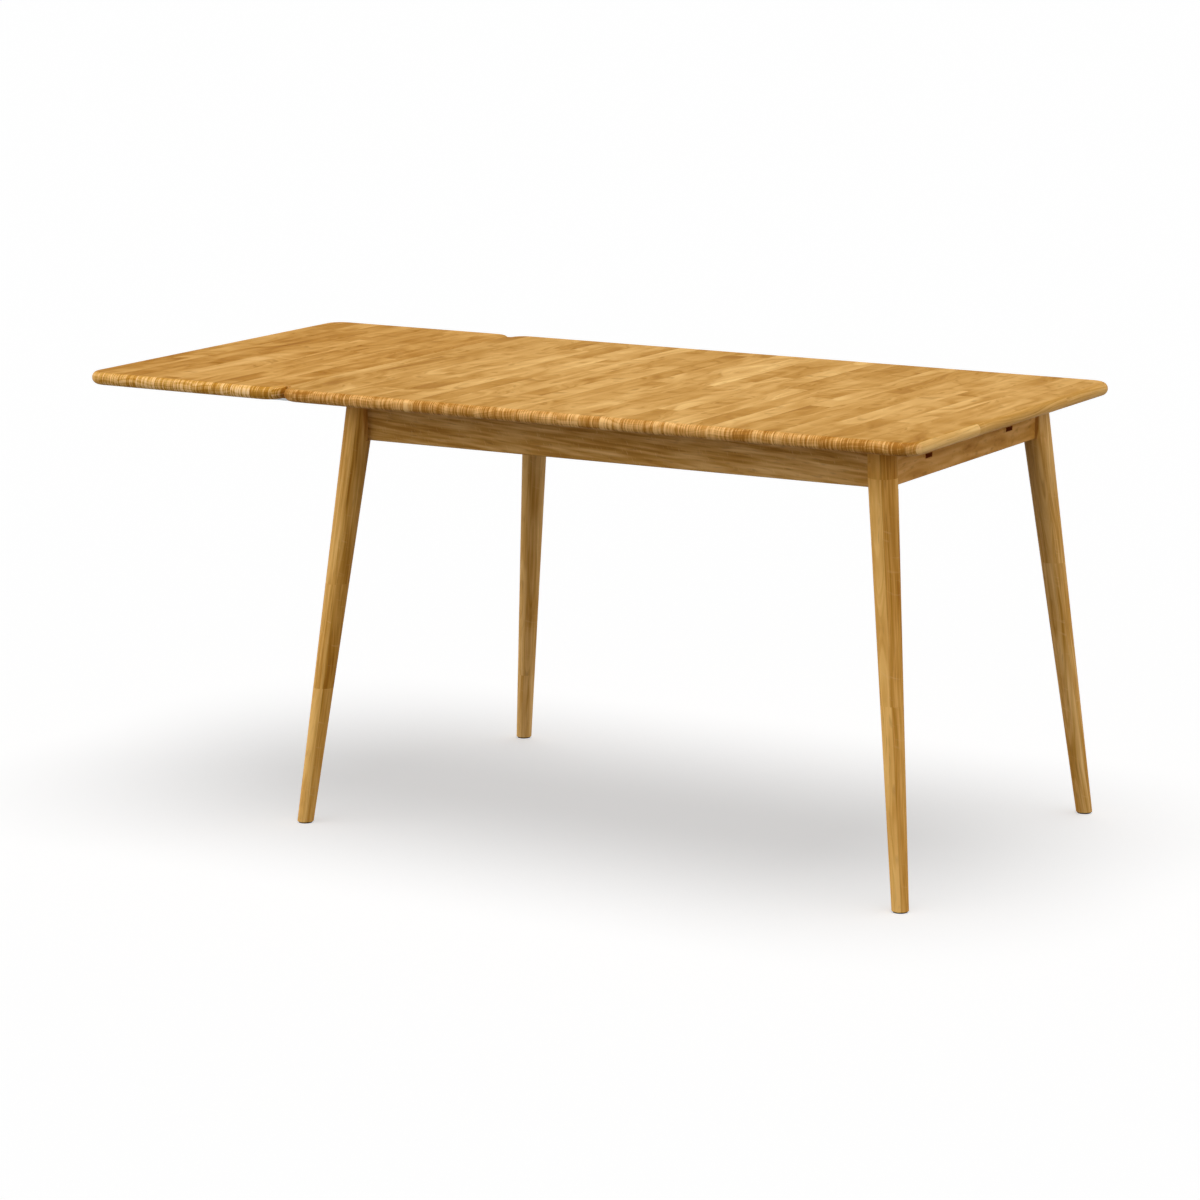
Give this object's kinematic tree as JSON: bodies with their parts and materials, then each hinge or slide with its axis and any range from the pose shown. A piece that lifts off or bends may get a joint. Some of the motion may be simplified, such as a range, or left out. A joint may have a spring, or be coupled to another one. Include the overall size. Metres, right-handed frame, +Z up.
{
  "type": "extendable dining table with add-on leaf",
  "caption": "Oiled oak dining table with round splayed tapered legs, a rounded-edge top and an add-on end leaf on sliding steel bars.",
  "frame": {"origin": "floor level under the centre of the whole table with its leaf pushed home (bottom centre of its bounding box)", "axes": "+X along the length, away from the leaf; +Y to the back; +Z up"},
  "size_m": [1.6074, 0.785, 0.76],
  "materials": {
    "oak_top": "oiled",
    "oak_leaf": "oiled",
    "oak_legs": "oiled",
    "oak_aprons": "oiled",
    "oak_rails": "oiled",
    "oak_blocks": "planed",
    "beech": "planed",
    "felt": "felt",
    "black_steel": "satin",
    "zinc_steel": "zinc plated",
    "clip_steel": "zinc plated",
    "yellow_zinc_screws": "yellow zinc plated"
  },
  "bodies": {
    "frame": {"main_top": "oak_top", "leg_front_left": "oak_legs", "leg_front_right": "oak_legs", "leg_back_left": "oak_legs", "leg_back_right": "oak_legs", "foot_pads": "felt", "front_apron": "oak_aprons", "back_apron": "oak_aprons", "left_end_apron": "oak_aprons", "right_end_apron": "oak_aprons", "left_guide_rail": "oak_rails", "right_guide_rail": "oak_rails", "rail_dowels": "beech", "corner_block_front_left": "oak_blocks", "corner_block_front_right": "oak_blocks", "corner_block_back_left": "oak_blocks", "corner_block_back_right": "oak_blocks", "corner_block_screws": "yellow_zinc_screws", "hanger_bolts": "zinc_steel", "hanger_washers": "zinc_steel", "hanger_nuts": "zinc_steel", "top_clips": "clip_steel", "top_clip_screws": "yellow_zinc_screws"},
    "leaf": {"leaf_top": "oak_leaf", "leaf_batten_front": "oak_rails", "leaf_batten_back": "oak_rails", "leaf_bar_front": "black_steel", "leaf_bar_back": "black_steel", "leaf_screws": "yellow_zinc_screws"}
  },
  "joints": [
    {"name": "leaf_slide", "type": "slide", "parent": "frame", "child": "leaf", "axis": [-1, 0, 0], "range_m": [0, 0.41]}
  ]
}
